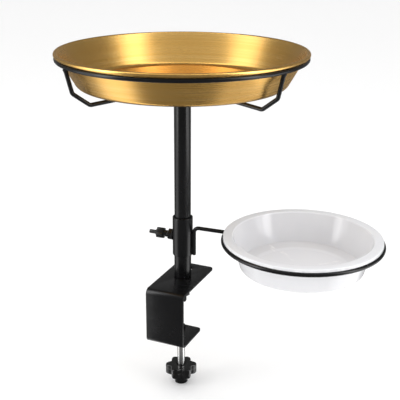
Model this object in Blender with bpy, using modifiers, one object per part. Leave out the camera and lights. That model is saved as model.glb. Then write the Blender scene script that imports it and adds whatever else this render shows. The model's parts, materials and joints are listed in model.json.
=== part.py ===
"""Clamp-on bird bath: a pan on a pole with a side dish, held to a deck rail by a C clamp.

Metres, +Z up. The origin is on the pole's axis, level with the face of the upper clamp
flange that rests on the rail. The clamp opens along +Y. The collar is free to turn, and
its side arm stands a few degrees off +X.
"""

import math

import bmesh
import bpy
from mathutils import Matrix, Vector

MM = 0.001
GAP = 0.3 * MM  # between two solids that touch on the real object
RUNNING = 0.3 * MM  # radial clearance of a shaft in its bore
WIRE = 5.0 * MM  # every ring and arm is bent from this wire

# Clamp bracket
CLAMP_WIDTH = 52.0 * MM
CLAMP_HEIGHT = 75.0 * MM
SHEET = 3.0 * MM
FRONT_REACH = 56.0 * MM  # pole axis to the outer face of the front plate
UPPER_REACH = 42.0 * MM  # pole axis to the free edge of the upper flange
LOWER_REACH = 2.0 * MM  # pole axis to the free edge of the lower flange
BEND_RADIUS = 7.0 * MM  # outer radius of both bends
CORNER_RADIUS = 4.5 * MM
SPARE_HOLE_RADIUS = 3.5 * MM
SPARE_HOLE_Y = 27.0 * MM

# Pole and its bolt
LOWER_POLE_RADIUS = 11.0 * MM
UPPER_POLE_RADIUS = 10.5 * MM
POLE_WALL = 1.2 * MM
POLE_JOINT_Z = 62.0 * MM
POLE_TOP_Z = 257.3 * MM
JOINT_PLUG_HALF = 20.0 * MM
FOOT_PLUG_LENGTH = 15.0 * MM
STUD_RADIUS = 5.0 * MM
STUD_END_Z = -33.0 * MM
POLE_NUT_FLATS = 17.0 * MM
POLE_NUT_HEIGHT = 18.0 * MM
WASHER_RADIUS = 10.5 * MM
WASHER_THICKNESS = 2.0 * MM
SPRING_WASHER_RADIUS = 9.0 * MM
SPRING_WASHER_THICKNESS = 2.5 * MM

# Clamp screw
SCREW_Y = -6.0 * MM
SCREW_RADIUS = 5.0 * MM
CLAMP_NUT_FLATS = 15.0 * MM
CLAMP_NUT_HEIGHT = 8.0 * MM
PAD_RADIUS = 5.8 * MM
PAD_THICKNESS = 3.0 * MM
KNOB_TOP_Z = -125.0 * MM
KNOB_RADIUS = 22.5 * MM
KNOB_LOBES = 6
KNOB_LOBE_DEPTH = 2.8 * MM
KNOB_TURN = math.radians(25.0)
KNOB_THICKNESS = 14.0 * MM
KNOB_BOSS_RADIUS = 9.0 * MM
KNOB_BOSS_LENGTH = 13.0 * MM
KNOB_BORE_DEPTH = 20.0 * MM

# Sliding collar and its thumb screw
COLLAR_HEADING = math.radians(3.0)  # side arm, from +X
COLLAR_Z = 35.0 * MM
COLLAR_LENGTH = 52.0 * MM
COLLAR_WALL = 1.7 * MM
THUMB_Z = 60.0 * MM
THUMB_RADIUS = 3.0 * MM
THUMB_NUT_FLATS = 13.0 * MM
THUMB_NUT_HEIGHT = 6.0 * MM
THUMB_NECK = 6.5 * MM  # collar nut to the near face of the grip
THUMB_GRIP_LENGTH = 10.0 * MM
THUMB_GRIP_RADIUS = 7.2 * MM
THUMB_LOBES = 8
THUMB_LOBE_DEPTH = 0.7 * MM
THUMB_TAIL_LENGTH = 10.5 * MM
THUMB_TAIL_RADIUS = 2.6 * MM
THUMB_BORE_DEPTH = 8.0 * MM

# Side arm, dish ring and dish
SIDE_ARM_BEND = 6.5 * MM
SIDE_ARM_DROP = 2.5 * MM  # arm's centre line under the ring's
DISH_X = 158.0 * MM
DISH_RING_RADIUS = 97.5 * MM
DISH_RING_Z = 76.0 * MM
DISH_LIP_HEIGHT = 4.2 * MM  # from the ring's top to the lip's crest
DISH_LIP_WIDTH = 11.5 * MM
DISH_DEPTH = 41.5 * MM  # lip crest to floor, inside
DISH_WALL_LEAN = 11.5 * MM  # the wall's foot, inside its top
DISH_CHAMFER_WIDTH = 18.0 * MM
DISH_CHAMFER_HEIGHT = 3.5 * MM
DISH_WALL = 2.0 * MM

# Pan, its ring and the ring's three arms
RING_RADIUS = 150.0 * MM
BEAD_RADIUS = 2.5 * MM
BEAD_OUTSET = 0.5 * MM  # bead's centre line outside the ring's
PAN_DEPTH = 41.5 * MM
PAN_SHEET = 0.8 * MM
PAN_WALL_LEAN = 23.5 * MM  # where the wall's line meets the bottom, inside the ring's radius
PAN_CORNER_RADIUS = 9.0 * MM
PAN_PANEL_INSET = 22.5 * MM  # raised panel's edge, inside the base radius
PAN_PANEL_RISE = 3.0 * MM
PAN_OVER_HUB = 0.9 * MM
HUB_WALL = 2.4 * MM
HUB_CAP = 3.0 * MM
HUB_LENGTH = 25.0 * MM
FRONT_ARM_MIDDLE = math.radians(-71.5)  # the front pair stand either side of this direction
FRONT_ARM_SPREAD = math.radians(108.0)
ARM_LEAN = 7.5 * MM
ARM_DROP = 30.7 * MM
ARM_ELBOW_INSET = 5.0 * MM  # lower bend, inside the pan's base radius
ARM_ELBOW_DROP = 12.5 * MM  # lower bend, under the pan's bottom
ARM_HUB_DROP = 6.0 * MM  # arm's end, under the hub's top
ARM_BEND = 6.0 * MM
ARM_END_GAP = 0.6 * MM

# Worked out from the sizes above
LOWER_BORE = LOWER_POLE_RADIUS - POLE_WALL
UPPER_BORE = UPPER_POLE_RADIUS - POLE_WALL
COLLAR_BORE = LOWER_POLE_RADIUS + RUNNING
COLLAR_RADIUS = COLLAR_BORE + COLLAR_WALL
POLE_FOOT_Z = SHEET + GAP
JAW_FLOOR_Z = 2.0 * SHEET - CLAMP_HEIGHT
HUB_BORE = UPPER_POLE_RADIUS + RUNNING
HUB_RADIUS = HUB_BORE + HUB_WALL
HUB_TOP_Z = POLE_TOP_Z + GAP + HUB_CAP
PAN_BOTTOM_Z = HUB_TOP_Z + PAN_OVER_HUB - PAN_PANEL_RISE
BEAD_Z = PAN_BOTTOM_Z + PAN_DEPTH - BEAD_RADIUS
RING_Z = BEAD_Z - BEAD_RADIUS - GAP - WIRE / 2
CLAMP_NUT_Z = JAW_FLOOR_Z - SHEET - GAP - CLAMP_NUT_HEIGHT
PAD_Z = JAW_FLOOR_Z + GAP
THUMB_NUT_X = -(COLLAR_RADIUS + GAP)
THUMB_GRIP_X = THUMB_NUT_X - THUMB_NUT_HEIGHT - THUMB_NECK
DISH_LIP_FOOT_Z = DISH_RING_Z + WIRE / 2 + GAP
DISH_FLOOR_RADIUS = DISH_RING_RADIUS - DISH_LIP_WIDTH - DISH_WALL_LEAN - DISH_CHAMFER_WIDTH
PAN_BASE_RADIUS = RING_RADIUS - PAN_WALL_LEAN
PAN_PANEL_RADIUS = PAN_BASE_RADIUS - PAN_PANEL_INSET

for old in list(bpy.data.objects):
    bpy.data.objects.remove(old, do_unlink=True)

parts = bpy.data.collections.new("clamp_on_bird_bath")
cutters = bpy.data.collections.new("cutters")
bpy.context.scene.collection.children.link(parts)
bpy.context.scene.collection.children.link(cutters)
cutters.hide_render = True
collar_axis = bpy.data.objects.new("collar_axis", None)
collar_axis.rotation_euler.z = COLLAR_HEADING
parts.objects.link(collar_axis)


def finish(name, colour, roughness, metallic):
    """A plain finish."""
    material = bpy.data.materials.new(name)
    material.use_nodes = True
    shader = material.node_tree.nodes["Principled BSDF"]
    shader.inputs["Base Color"].default_value = (*colour, 1.0)
    shader.inputs["Roughness"].default_value = roughness
    shader.inputs["Metallic"].default_value = metallic
    return material


def build_on_collar(build):
    """Runs one of the builders below and hangs what it makes on the collar's axis."""
    before = set(bpy.data.objects)
    build()
    for obj in bpy.data.objects:
        if obj not in before:
            obj.parent = collar_axis


BLACK_PAINT = finish("black_powder_coat", (0.025, 0.025, 0.027), 0.45, 0.0)
BRUSHED_GOLD = finish("brushed_gold", (0.72, 0.47, 0.17), 0.28, 1.0)
ZINC = finish("zinc_plated_steel", (0.62, 0.62, 0.60), 0.3, 1.0)
DARK_ZINC = finish("black_zinc_plate", (0.06, 0.06, 0.06), 0.4, 0.6)
BLACK_PLASTIC = finish("black_plastic", (0.02, 0.02, 0.02), 0.38, 0.0)
DISH_PLASTIC = finish("translucent_white_plastic", (0.82, 0.82, 0.84), 0.25, 0.0)


def place(obj, collection, material=None):
    """Puts an object in one collection, with its finish."""
    for held_in in list(obj.users_collection):
        held_in.objects.unlink(obj)
    collection.objects.link(obj)
    if material:
        obj.data.materials.clear()
        obj.data.materials.append(material)
    if collection is cutters:
        obj.hide_render = True
        obj.display_type = "WIRE"
    return obj


def smooth(obj):
    """Smooth shading, with the sharp corners kept."""
    obj.data.shade_smooth()
    obj.data.set_sharp_from_angle(angle=math.radians(35))
    return obj


def turned(name, profile, steps, material, at=(0, 0, 0), closed=True, collection=parts):
    """A profile of (radius, height) points turned about Z, listed down its outer side."""
    mesh = bpy.data.meshes.new(name)
    edges = [(i, i + 1) for i in range(len(profile) - 1)]
    if closed:
        edges.append((len(profile) - 1, 0))
    mesh.from_pydata([(r, 0, z) for r, z in profile], edges, [])
    obj = bpy.data.objects.new(name, mesh)
    obj.location = at
    place(obj, collection, material)
    screw = obj.modifiers.new("turn", "SCREW")
    screw.steps = steps
    screw.render_steps = steps
    screw.use_merge_vertices = True
    screw.merge_threshold = 0.00005
    screw.use_smooth_shade = True
    return obj


def rod_profile(radius, low, high, chamfer):
    """A solid rod with chamfered ends."""
    return [(0, high), (radius - chamfer, high), (radius, high - chamfer),
            (radius, low + chamfer), (radius - chamfer, low), (0, low)]


def tube_profile(radius, bore, low, high, chamfer=0.0):
    """A tube, with the edges of its outer side chamfered when asked."""
    outer = [(radius, high), (radius, low)]
    if chamfer:
        outer = [(radius - chamfer, high), (radius, high - chamfer),
                 (radius, low + chamfer), (radius - chamfer, low)]
    return outer + [(bore, low), (bore, high)]


def rod(name, radius, low, high, steps, material, at=(0, 0, 0), chamfer=0.4 * MM):
    """A solid rod along Z."""
    return turned(name, rod_profile(radius, low, high, chamfer), steps, material, at, closed=False)


def cylinder_cutter(name, radius, low, high, at=(0, 0, 0), turn=(0, 0, 0)):
    """A cylinder to cut with, along its own Z from low to high."""
    bpy.ops.mesh.primitive_cylinder_add(vertices=32, radius=radius, depth=high - low)
    obj = bpy.context.object
    obj.name = name
    obj.data.transform(Matrix.Translation((0, 0, (low + high) / 2)))
    obj.location = at
    obj.rotation_euler = turn
    return place(obj, cutters)


def boolean(obj, other, operation="DIFFERENCE"):
    """Cuts or joins with an exact Boolean."""
    modifier = obj.modifiers.new(operation.lower(), "BOOLEAN")
    modifier.operation = operation
    modifier.object = other
    return obj


def arc(centre, radius, start, end, count):
    """Points on an arc in a flat plane, both ends included. Angles are in degrees."""
    points = []
    for i in range(count):
        angle = math.radians(start + (end - start) * i / (count - 1))
        points.append((centre[0] + radius * math.cos(angle), centre[1] + radius * math.sin(angle)))
    return points


def bent_path(points, radius, count=5):
    """A path through points, with each inner corner rounded to a radius."""
    points = [Vector(p) for p in points]
    path = [points[0]]
    for before, corner, after in zip(points, points[1:], points[2:]):
        into = (corner - before).normalized()
        out = (after - corner).normalized()
        turn = into.angle(out)
        reach = radius * math.tan(turn / 2)
        centre = corner + (out - into).normalized() * (radius / math.cos(turn / 2))
        first = corner - into * reach - centre
        axis = into.cross(out).normalized()
        for i in range(count):
            path.append(centre + Matrix.Rotation(turn * i / (count - 1), 3, axis) @ first)
    path.append(points[-1])
    return path


def wire(name, path, material, radius=WIRE / 2):
    """A round wire along a path."""
    curve = bpy.data.curves.new(name, "CURVE")
    curve.dimensions = "3D"
    curve.bevel_depth = radius
    curve.bevel_resolution = 2
    curve.use_fill_caps = True
    curve.render_resolution_u = 0
    spline = curve.splines.new("POLY")
    spline.points.add(len(path) - 1)
    for point, position in zip(spline.points, path):
        point.co = (*position, 1.0)
    obj = bpy.data.objects.new(name, curve)
    return place(obj, parts, material)


def wire_ring(name, radius, at, material):
    """A ring of the same wire."""
    bpy.ops.mesh.primitive_torus_add(
        major_segments=64, minor_segments=8, major_radius=radius, minor_radius=WIRE / 2, location=at
    )
    obj = bpy.context.object
    obj.name = name
    return smooth(place(obj, parts, material))


def outline_solid(name, outline, thickness, material, at, turn=(0, 0, 0), collection=parts):
    """A flat closed outline with a thickness, upwards from its own Z of 0, as one closed mesh."""
    curve = bpy.data.curves.new(name, "CURVE")
    curve.dimensions = "2D"
    curve.fill_mode = "BOTH"
    curve.extrude = thickness / 2
    curve.render_resolution_u = 0
    spline = curve.splines.new("POLY")
    spline.points.add(len(outline) - 1)
    spline.use_cyclic_u = True
    for point, (x, y) in zip(spline.points, outline):
        point.co = (x, y, 0, 1)
    flat = bpy.data.objects.new(name + "_outline", curve)
    cutters.objects.link(flat)
    depsgraph = bpy.context.evaluated_depsgraph_get()
    mesh = bpy.data.meshes.new_from_object(flat.evaluated_get(depsgraph))
    bpy.data.objects.remove(flat, do_unlink=True)
    solid = bmesh.new()
    solid.from_mesh(mesh)
    bmesh.ops.remove_doubles(solid, verts=solid.verts, dist=0.000001)
    bmesh.ops.translate(solid, verts=solid.verts, vec=(0, 0, thickness / 2))
    bmesh.ops.recalc_face_normals(solid, faces=solid.faces)
    solid.to_mesh(mesh)
    solid.free()
    mesh.name = name
    obj = bpy.data.objects.new(name, mesh)
    obj.location = at
    obj.rotation_euler = turn
    return place(obj, collection, material)


def lobed_outline(radius, depth, lobes, count):
    """A round outline with shallow lobes, whose peaks reach the radius."""
    outline = []
    for i in range(count):
        angle = 2 * math.pi * i / count
        reach = radius - depth * (1 - math.cos(lobes * angle))
        outline.append((reach * math.cos(angle), reach * math.sin(angle)))
    return outline


def hex_nut(name, flats, height, bore, at, material, turn=(0, 0, 0)):
    """A hexagonal nut standing on its own Z of 0, with a plain bore."""
    corner = flats / math.sqrt(3)
    corners = [math.radians(60 * i) for i in range(6)]
    outline = [(corner * math.cos(turn), corner * math.sin(turn)) for turn in corners]
    obj = outline_solid(name, outline, height, material, at, turn)
    bevel = obj.modifiers.new("edges", "BEVEL")
    bevel.width = 0.5 * MM
    bevel.segments = 1
    hole = cylinder_cutter(name + "_bore", bore, -GAP * 4, height + GAP * 4, at, turn)
    return boolean(obj, hole)


def clamp_path():
    """The bracket's outer face seen along X, from the upper free edge round to the lower one."""
    top = SHEET
    bottom = SHEET - CLAMP_HEIGHT
    front = -FRONT_REACH
    upper = arc((front + BEND_RADIUS, top - BEND_RADIUS), BEND_RADIUS, 90, 180, 6)
    lower = arc((front + BEND_RADIUS, bottom + BEND_RADIUS), BEND_RADIUS, 180, 270, 6)
    return [(UPPER_REACH, top)] + upper + lower + [(LOWER_REACH, bottom)]


def make_clamp_bracket():
    """One strip of sheet bent twice, with its four free corners rounded and three holes."""
    sheet = bmesh.new()
    left = [sheet.verts.new((-CLAMP_WIDTH / 2, y, z)) for y, z in clamp_path()]
    edges = [sheet.edges.new(pair) for pair in zip(left, left[1:])]
    swept = bmesh.ops.extrude_edge_only(sheet, edges=edges)["geom"]
    right = [item for item in swept if isinstance(item, bmesh.types.BMVert)]
    bmesh.ops.translate(sheet, verts=right, vec=(CLAMP_WIDTH, 0, 0))
    ends = [v for v in sheet.verts if len(v.link_edges) == 2]
    bmesh.ops.bevel(sheet, geom=ends, offset=CORNER_RADIUS, segments=4, profile=0.5, affect="VERTICES")
    bmesh.ops.recalc_face_normals(sheet, faces=sheet.faces)
    top = max(sheet.faces, key=lambda face: face.calc_center_median().z)
    if top.normal.z < 0:
        bmesh.ops.reverse_faces(sheet, faces=sheet.faces)
    mesh = bpy.data.meshes.new("clamp_bracket")
    sheet.to_mesh(mesh)
    sheet.free()
    obj = place(bpy.data.objects.new("clamp_bracket", mesh), parts, BLACK_PAINT)
    skin = obj.modifiers.new("sheet", "SOLIDIFY")
    skin.thickness = SHEET
    skin.offset = -1
    skin.use_even_offset = True
    through = SHEET * 2
    boolean(obj, cylinder_cutter("stud_hole", STUD_RADIUS + RUNNING, -through, through))
    boolean(obj, cylinder_cutter("spare_hole", SPARE_HOLE_RADIUS, -through, through, (0, SPARE_HOLE_Y, 0)))
    at = (0, SCREW_Y, JAW_FLOOR_Z)
    boolean(obj, cylinder_cutter("screw_hole", SCREW_RADIUS + RUNNING, -through, through, at))


def make_pole():
    """Two steel tubes on a stepped plug, with a threaded foot plug, stud, nut and washers."""
    tube = tube_profile(LOWER_POLE_RADIUS, LOWER_BORE, POLE_FOOT_Z, POLE_JOINT_Z)
    turned("lower_pole", tube, 32, BLACK_PAINT)
    tube = tube_profile(UPPER_POLE_RADIUS, UPPER_BORE, POLE_JOINT_Z + GAP, POLE_TOP_Z)
    turned("upper_pole", tube, 32, BLACK_PAINT)
    lower, upper = LOWER_BORE - GAP, UPPER_BORE - GAP
    plug = [(0, POLE_JOINT_Z + JOINT_PLUG_HALF), (upper, POLE_JOINT_Z + JOINT_PLUG_HALF),
            (upper, POLE_JOINT_Z - GAP), (lower, POLE_JOINT_Z - GAP),
            (lower, POLE_JOINT_Z - JOINT_PLUG_HALF), (0, POLE_JOINT_Z - JOINT_PLUG_HALF)]
    turned("pole_joint_plug", plug, 24, ZINC, closed=False)
    foot_top = POLE_FOOT_Z + FOOT_PLUG_LENGTH
    foot = tube_profile(lower, STUD_RADIUS + RUNNING, POLE_FOOT_Z, foot_top)
    turned("pole_foot_plug", foot, 24, ZINC)
    rod("pole_stud", STUD_RADIUS, STUD_END_Z, foot_top - 1.0 * MM, 20, DARK_ZINC)
    washer_z = -GAP - WASHER_THICKNESS
    spring_z = washer_z - GAP - SPRING_WASHER_THICKNESS
    bore = STUD_RADIUS + RUNNING
    turned("pole_washer", tube_profile(WASHER_RADIUS, bore, washer_z, -GAP), 32, DARK_ZINC)
    spring_top = spring_z + SPRING_WASHER_THICKNESS
    profile = tube_profile(SPRING_WASHER_RADIUS, bore, spring_z, spring_top)
    turned("pole_spring_washer", profile, 24, DARK_ZINC)
    at = (0, 0, spring_z - GAP - POLE_NUT_HEIGHT)
    hex_nut("pole_nut", POLE_NUT_FLATS, POLE_NUT_HEIGHT, bore, at, DARK_ZINC)


def make_clamp_screw():
    """Weld nut, pad, screw and star knob, all on the screw's axis."""
    at = (0, SCREW_Y, 0)
    bore = SCREW_RADIUS + RUNNING
    hex_nut("clamp_nut", CLAMP_NUT_FLATS, CLAMP_NUT_HEIGHT, bore, (0, SCREW_Y, CLAMP_NUT_Z), BLACK_PAINT)
    pad_top = PAD_Z + PAD_THICKNESS
    edge = 0.8 * MM
    pad = [(0, pad_top), (PAD_RADIUS - edge, pad_top), (PAD_RADIUS, pad_top - edge),
           (PAD_RADIUS, PAD_Z), (0, PAD_Z)]
    turned("pressure_pad", pad, 32, BLACK_PAINT, at, closed=False)
    screw_end = KNOB_TOP_Z - KNOB_BORE_DEPTH + GAP
    rod("clamp_screw", SCREW_RADIUS, screw_end, PAD_Z - GAP, 24, ZINC, at, chamfer=0.8 * MM)
    outline = lobed_outline(KNOB_RADIUS, KNOB_LOBE_DEPTH, KNOB_LOBES, 72)
    base = (0, SCREW_Y, KNOB_TOP_Z - KNOB_THICKNESS)
    knob = outline_solid("star_knob", outline, KNOB_THICKNESS, BLACK_PLASTIC, base, (0, 0, KNOB_TURN))
    bevel = knob.modifiers.new("edges", "BEVEL")
    bevel.width = 1.5 * MM
    bevel.segments = 2
    bevel.limit_method = "ANGLE"
    bevel.angle_limit = math.radians(60)
    inside = 3.0 * MM  # the boss runs up into the lobes
    boss_profile = rod_profile(KNOB_BOSS_RADIUS, -KNOB_BOSS_LENGTH, inside, 1.0 * MM)
    boss = turned("star_knob_boss", boss_profile, 32, None, base, closed=False, collection=cutters)
    boolean(knob, boss, "UNION")
    top = (0, SCREW_Y, KNOB_TOP_Z)
    boolean(knob, cylinder_cutter("star_knob_bore", bore, -KNOB_BORE_DEPTH, SCREW_RADIUS, top))


def make_collar():
    """The sleeve that slides on the pole, its nut, side arm and dish ring."""
    high = COLLAR_Z + COLLAR_LENGTH
    profile = tube_profile(COLLAR_RADIUS, COLLAR_BORE, COLLAR_Z, high, 0.7 * MM)
    sleeve = turned("collar_sleeve", profile, 32, BLACK_PAINT)
    outwards = (0, math.radians(-90), 0)
    reach = COLLAR_RADIUS + COLLAR_WALL
    bore = THUMB_RADIUS + RUNNING
    boolean(sleeve, cylinder_cutter("thumb_hole", bore, COLLAR_BORE / 2, reach, (0, 0, THUMB_Z), outwards))
    at = (THUMB_NUT_X, 0, THUMB_Z)
    hex_nut("collar_nut", THUMB_NUT_FLATS, THUMB_NUT_HEIGHT, bore, at, BLACK_PAINT, outwards)
    leg_x = COLLAR_RADIUS + GAP + WIRE / 2
    end_x = DISH_X - DISH_RING_RADIUS - WIRE / 2 - GAP
    arm_z = DISH_RING_Z - SIDE_ARM_DROP
    route = [(leg_x, 0, COLLAR_Z + 1.0 * MM), (leg_x, 0, arm_z), (end_x, 0, arm_z)]
    wire("side_arm", bent_path(route, SIDE_ARM_BEND), BLACK_PAINT)
    wire_ring("dish_ring", DISH_RING_RADIUS, (DISH_X, 0, DISH_RING_Z), BLACK_PAINT)


def make_thumb_screw():
    """The screw that locks the collar, and its grip with a tail."""
    outwards = (0, math.radians(-90), 0)
    axis = (0, 0, THUMB_Z)
    screw_end = -THUMB_GRIP_X + THUMB_BORE_DEPTH - GAP
    screw = rod("thumb_screw", THUMB_RADIUS, LOWER_POLE_RADIUS + GAP, screw_end, 16, ZINC, axis)
    screw.rotation_euler = outwards
    outline = lobed_outline(THUMB_GRIP_RADIUS, THUMB_LOBE_DEPTH, THUMB_LOBES, 64)
    at = (THUMB_GRIP_X, 0, THUMB_Z)
    grip = outline_solid("thumb_grip", outline, THUMB_GRIP_LENGTH, BLACK_PLASTIC, at, outwards)
    bevel = grip.modifiers.new("edges", "BEVEL")
    bevel.width = 0.8 * MM
    bevel.segments = 1
    bevel.limit_method = "ANGLE"
    bevel.angle_limit = math.radians(60)
    neck_radius = THUMB_RADIUS + 1.3 * MM
    neck = 2.0 * MM - THUMB_NECK
    inside = 2.0 * MM
    tail_end = THUMB_GRIP_LENGTH + THUMB_TAIL_LENGTH
    edge = 0.4 * MM
    stem_profile = [(0, tail_end), (THUMB_TAIL_RADIUS - edge, tail_end),
                    (THUMB_TAIL_RADIUS, tail_end - edge), (THUMB_TAIL_RADIUS, THUMB_GRIP_LENGTH - inside),
                    (neck_radius, THUMB_GRIP_LENGTH - inside), (neck_radius, neck), (0, neck)]
    stem = turned("thumb_grip_stem", stem_profile, 20, None, at, closed=False, collection=cutters)
    stem.rotation_euler = outwards
    boolean(grip, stem, "UNION")
    bore = THUMB_RADIUS + RUNNING
    boolean(grip, cylinder_cutter("thumb_grip_bore", bore, -THUMB_NECK, THUMB_BORE_DEPTH, at, outwards))


def make_shell(name, inside_face, thickness, steps, material, at=(0, 0, 0)):
    """A turned shell of even thickness, from the face seen inside it, listed from the axis outwards."""
    obj = turned(name, list(reversed(inside_face)), steps, material, at, closed=False)
    skin = obj.modifiers.new("wall", "SOLIDIFY")
    skin.thickness = thickness
    skin.offset = 1
    skin.use_even_offset = True
    return obj


def make_dish():
    """The plastic dish: a stepped floor, a leaning wall, and a lip that sits on the wire ring."""
    crest = DISH_LIP_FOOT_Z + DISH_LIP_HEIGHT
    floor = crest - DISH_DEPTH
    outer = DISH_RING_RADIUS
    inner = outer - DISH_LIP_WIDTH
    step = DISH_FLOOR_RADIUS + DISH_CHAMFER_WIDTH
    round_off = 1.5 * MM
    face = [(0, floor), (DISH_FLOOR_RADIUS, floor), (DISH_FLOOR_RADIUS + round_off, floor + 0.4 * MM),
            (step - round_off, floor + DISH_CHAMFER_HEIGHT - 0.5 * MM),
            (step, floor + DISH_CHAMFER_HEIGHT + round_off),
            (inner - 0.8 * MM, crest - 2.0 * MM), (inner + 0.3 * MM, crest - 0.5 * MM),
            (inner + 1.8 * MM, crest), (outer - 2.0 * MM, crest - 0.2 * MM),
            (outer - 0.6 * MM, crest - 0.5 * MM), (outer, crest - 1.4 * MM), (outer, DISH_LIP_FOOT_Z)]
    make_shell("feeder_dish", face, DISH_WALL, 56, DISH_PLASTIC, (DISH_X, 0, 0))


def make_pan():
    """The metal pan: a raised middle panel, a rounded corner, a leaning wall and a rolled rim."""
    floor = PAN_BOTTOM_Z + PAN_SHEET
    bead_r = RING_RADIUS + BEAD_OUTSET
    lean = math.atan2(bead_r - BEAD_RADIUS - PAN_BASE_RADIUS, BEAD_Z - PAN_BOTTOM_Z)
    corner = PAN_CORNER_RADIUS - PAN_SHEET
    meet = PAN_BASE_RADIUS - PAN_SHEET * math.tan((math.pi / 2 - lean) / 2)  # inner wall line at the floor
    reach = corner * math.tan((math.pi / 2 - lean) / 2)
    slope = 5.0 * MM
    panel = floor + PAN_PANEL_RISE
    face = [(0, panel), (PAN_PANEL_RADIUS, panel), (PAN_PANEL_RADIUS + slope, floor)]
    face += arc((meet - reach, floor + corner), corner, -90, -math.degrees(lean), 5)
    face += arc((bead_r, BEAD_Z), BEAD_RADIUS, 180 - math.degrees(lean), -130, 9)
    make_shell("basin_pan", face, PAN_SHEET, 60, BRUSHED_GOLD)


def make_ring_carrier():
    """The wire ring that holds the pan, its three arms, and the cap that fits over the pole."""
    low = HUB_TOP_Z - HUB_LENGTH
    ceiling = HUB_TOP_Z - HUB_CAP
    edge = 1.0 * MM
    cap = [(0, HUB_TOP_Z), (HUB_RADIUS - edge, HUB_TOP_Z), (HUB_RADIUS, HUB_TOP_Z - edge),
           (HUB_RADIUS, low), (HUB_BORE, low), (HUB_BORE, ceiling), (0, ceiling)]
    turned("hub_cap", cap, 32, BLACK_PAINT, closed=False)
    wire_ring("basin_ring", RING_RADIUS, (0, 0, RING_Z), BLACK_PAINT)
    half = FRONT_ARM_SPREAD / 2
    directions = [FRONT_ARM_MIDDLE - half, FRONT_ARM_MIDDLE + half, FRONT_ARM_MIDDLE + math.pi]
    top_z = RING_Z - WIRE / 2 - ARM_END_GAP
    side = [(RING_RADIUS - ARM_END_GAP, top_z), (RING_RADIUS - ARM_LEAN, RING_Z - ARM_DROP),
            (PAN_BASE_RADIUS - ARM_ELBOW_INSET, PAN_BOTTOM_Z - ARM_ELBOW_DROP),
            (HUB_RADIUS + ARM_END_GAP, HUB_TOP_Z - ARM_HUB_DROP)]
    for number, angle in enumerate(directions, 1):
        route = [(r * math.cos(angle), r * math.sin(angle), z) for r, z in side]
        wire(f"ring_arm_{number}", bent_path(route, ARM_BEND), BLACK_PAINT)


make_clamp_bracket()
make_pole()
make_clamp_screw()
build_on_collar(make_collar)
build_on_collar(make_thumb_screw)
build_on_collar(make_dish)
make_pan()
make_ring_carrier()
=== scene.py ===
import json
import math

import bmesh
import bpy
from mathutils import Matrix, Vector
from mathutils.geometry import delaunay_2d_cdt


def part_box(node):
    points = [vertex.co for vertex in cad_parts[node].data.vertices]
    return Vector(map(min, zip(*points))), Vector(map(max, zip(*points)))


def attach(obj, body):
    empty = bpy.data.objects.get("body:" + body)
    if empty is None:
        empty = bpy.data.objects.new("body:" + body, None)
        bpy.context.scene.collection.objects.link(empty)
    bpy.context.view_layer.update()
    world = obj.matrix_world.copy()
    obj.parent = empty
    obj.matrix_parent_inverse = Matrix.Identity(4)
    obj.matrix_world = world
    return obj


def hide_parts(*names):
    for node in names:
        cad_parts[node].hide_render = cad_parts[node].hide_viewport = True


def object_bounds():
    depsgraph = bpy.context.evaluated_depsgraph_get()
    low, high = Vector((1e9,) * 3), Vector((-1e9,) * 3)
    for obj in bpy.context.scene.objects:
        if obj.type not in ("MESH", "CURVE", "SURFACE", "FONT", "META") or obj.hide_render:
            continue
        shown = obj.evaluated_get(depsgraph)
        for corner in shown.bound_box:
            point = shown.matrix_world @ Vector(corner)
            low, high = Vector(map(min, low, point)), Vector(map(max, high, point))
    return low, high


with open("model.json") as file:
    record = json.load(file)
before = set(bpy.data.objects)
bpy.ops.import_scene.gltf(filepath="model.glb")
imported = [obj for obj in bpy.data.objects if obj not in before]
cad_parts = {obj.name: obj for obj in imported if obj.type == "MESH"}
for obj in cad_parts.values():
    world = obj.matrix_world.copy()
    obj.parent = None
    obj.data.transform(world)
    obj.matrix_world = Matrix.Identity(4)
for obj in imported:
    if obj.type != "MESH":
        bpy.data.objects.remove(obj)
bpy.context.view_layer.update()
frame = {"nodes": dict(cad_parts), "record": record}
mm = 0.001
wireHalf = 2.5 * mm  # half the thickness of the bent wire
joints = {joint["name"]: joint for joint in frame["record"]["behaviour"]["joints"]}
print("frame loaded:", len(frame["nodes"]), "nodes")


# Shader building blocks, shared by the finishes

def add(tree, kind, inputs=None, **settings):
    made = tree.nodes.new(kind)
    for key, value in settings.items():
        setattr(made, key, value)
    for key, value in (inputs or {}).items():
        if isinstance(value, bpy.types.NodeSocket):
            tree.links.new(value, made.inputs[key])
        else:
            made.inputs[key].default_value = value
    return made


def maths(tree, operation, first, second=0.0, third=0.0, clamp=False):
    made = add(tree, "ShaderNodeMath", {0: first, 1: second, 2: third}, operation=operation, use_clamp=clamp)
    return made.outputs[0]


def fitted(tree, value, low, high, toLow=0.0, toHigh=1.0):
    inputs = {"Value": value, "From Min": low, "From Max": high, "To Min": toLow, "To Max": toHigh}
    return add(tree, "ShaderNodeMapRange", inputs, interpolation_type="SMOOTHSTEP").outputs[0]


def blended(tree, factor, first, second):
    made = tree.nodes.new("ShaderNodeMix")
    made.data_type = "RGBA"
    for socket, value in ((made.inputs[0], factor), (made.inputs[6], first), (made.inputs[7], second)):
        if isinstance(value, bpy.types.NodeSocket):
            tree.links.new(value, socket)
        else:
            socket.default_value = value
    return made.outputs[2]


def startGroup(name, inputs, outputs):
    tree = bpy.data.node_groups.new(name, "ShaderNodeTree")
    for label, value in inputs.items():
        socket = tree.interface.new_socket(label, in_out="INPUT", socket_type="NodeSocketFloat")
        socket.default_value = value
    for label in outputs:
        tree.interface.new_socket(label, in_out="OUTPUT", socket_type="NodeSocketFloat")
    return tree, tree.nodes.new("NodeGroupInput").outputs, tree.nodes.new("NodeGroupOutput").inputs


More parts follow.
